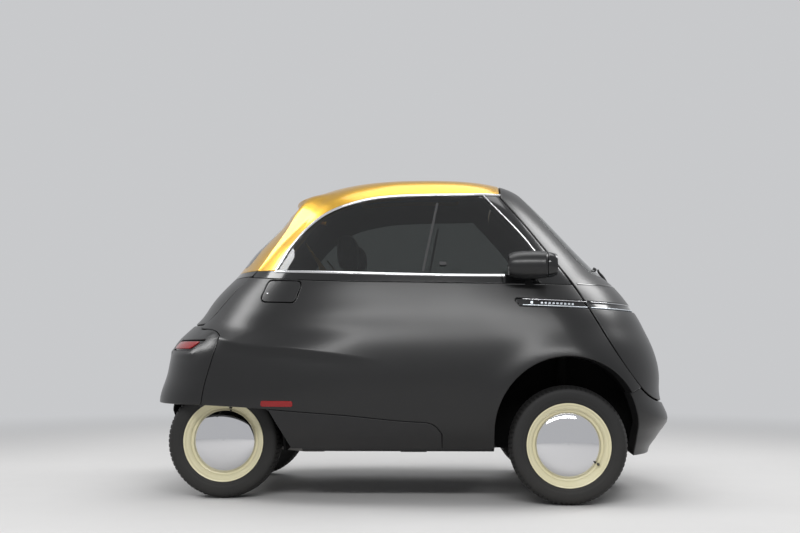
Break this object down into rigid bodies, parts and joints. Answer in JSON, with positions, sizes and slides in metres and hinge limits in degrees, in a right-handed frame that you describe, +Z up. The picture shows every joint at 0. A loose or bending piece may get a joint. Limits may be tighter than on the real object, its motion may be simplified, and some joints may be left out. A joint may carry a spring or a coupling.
{
  "type": "microcar",
  "caption": "Egg-shaped two-seat electric microcar that is entered through a side-hinged front door, with a rear hatch, steered front wheels and a charge flap.",
  "frame": {"origin": "centre of the bounding box on the ground plane", "axes": "+X to the front of the car, +Y to its left, +Z up"},
  "size_m": [2.5204, 1.554, 1.5092],
  "materials": {
    "body_black": "satin black paint",
    "sill_grey": "dark grey textured plastic",
    "roof_gold": "metallic gold paint",
    "dark_plastic": "fine grain",
    "cast_grey": "plain",
    "seat_cloth": "woven",
    "tinted_glass": "tinted",
    "bright_trim": "bright satin",
    "pod_gloss": "gloss black",
    "clear_lens": "clear lens",
    "mirror_face": "mirror",
    "red_lens": "red lens",
    "steel_dark": "coated steel",
    "tyre_rubber": "black rubber",
    "rim_cream": "cream enamel",
    "hubcap_chrome": "chrome plate"
  },
  "bodies": {
    "chassis": {"floor_pan": "dark_plastic", "side_panel_right": "body_black", "side_panel_left": "body_black", "sills": "sill_grey", "roof_shell": "roof_gold", "sunroof": "roof_gold", "tail_panel": "body_black", "front_bumper": "body_black", "wheel_housings": "dark_plastic", "motor_block": "cast_grey", "seat_cushion": "seat_cloth", "seat_back": "seat_cloth", "side_windows": "tinted_glass", "bright_rails": "bright_trim", "charge_socket": "dark_plastic", "lamp_pods": "pod_gloss", "headlamp_lenses": "clear_lens", "mirror_glasses": "mirror_face", "tail_lamps": "red_lens", "side_reflectors": "red_lens", "side_light_bars": "clear_lens", "steering_column": "dark_plastic", "front_suspension": "steel_dark", "rear_suspension": "steel_dark"},
    "front_door": {"front_door": "body_black", "windscreen": "tinted_glass", "front_light_bar": "clear_lens", "wiper": "dark_plastic", "dash_bar": "dark_plastic"},
    "hatch": {"hatch_panel": "body_black", "rear_window": "tinted_glass"},
    "charge_flap": {"charge_flap": "body_black"},
    "knuckle_right": {"knuckle_right": "steel_dark"},
    "knuckle_left": {"knuckle_left": "steel_dark"},
    "steering_wheel": {"steering_wheel": "dark_plastic"},
    "wheel_front_right": {"tyre_front_right": "tyre_rubber", "rim_front_right": "rim_cream", "hubcap_front_right": "hubcap_chrome"},
    "wheel_front_left": {"tyre_front_left": "tyre_rubber", "rim_front_left": "rim_cream", "hubcap_front_left": "hubcap_chrome"},
    "wheel_rear_right": {"tyre_rear_right": "tyre_rubber", "rim_rear_right": "rim_cream", "hubcap_rear_right": "hubcap_chrome"},
    "wheel_rear_left": {"tyre_rear_left": "tyre_rubber", "rim_rear_left": "rim_cream", "hubcap_rear_left": "hubcap_chrome"}
  },
  "joints": [
    {"name": "front_door_hinge", "type": "hinge", "parent": "chassis", "child": "front_door", "pos_m": [0.9, 0.645, 0.74], "axis": [0, 0, 1], "range_deg": [0, 75]},
    {"name": "hatch_hinge", "type": "hinge", "parent": "chassis", "child": "hatch", "pos_m": [-0.545, 0, 1.39], "axis": [0, 1, 0], "range_deg": [0, 75]},
    {"name": "charge_flap_hinge", "type": "hinge", "parent": "chassis", "child": "charge_flap", "pos_m": [-0.51892, -0.61232, 0.95672], "axis": [0.3355, 0.1014, 0.9366], "range_deg": [0, 85]},
    {"name": "steer_left", "type": "hinge", "parent": "chassis", "child": "knuckle_left", "pos_m": [0.688, 0.555, 0.262], "axis": [0, 0, 1], "range_deg": [-33, 33]},
    {"name": "steer_right", "type": "hinge", "parent": "chassis", "child": "knuckle_right", "pos_m": [0.688, -0.555, 0.262], "axis": [0, 0, 1], "range_deg": [-33, 33]},
    {"name": "steering_wheel_turn", "type": "hinge", "parent": "chassis", "child": "steering_wheel", "pos_m": [0.345, 0.28, 0.86], "axis": [-0.454, 0, 0.891], "range_deg": [-500, 500]},
    {"name": "roll_front_right", "type": "hinge", "parent": "knuckle_right", "child": "wheel_front_right", "pos_m": [0.688, -0.625, 0.262], "axis": [0, 1, 0], "continuous": true},
    {"name": "roll_front_left", "type": "hinge", "parent": "knuckle_left", "child": "wheel_front_left", "pos_m": [0.688, 0.625, 0.262], "axis": [0, 1, 0], "continuous": true},
    {"name": "roll_rear_right", "type": "hinge", "parent": "chassis", "child": "wheel_rear_right", "pos_m": [-0.878, -0.45, 0.262], "axis": [0, 1, 0], "continuous": true},
    {"name": "roll_rear_left", "type": "hinge", "parent": "chassis", "child": "wheel_rear_left", "pos_m": [-0.878, 0.45, 0.262], "axis": [0, 1, 0], "continuous": true}
  ],
  "couplings": [
    {"joint": "steer_right", "follows": "steer_left", "ratio": 1},
    {"joint": "steering_wheel_turn", "follows": "steer_left", "ratio": 15}
  ]
}
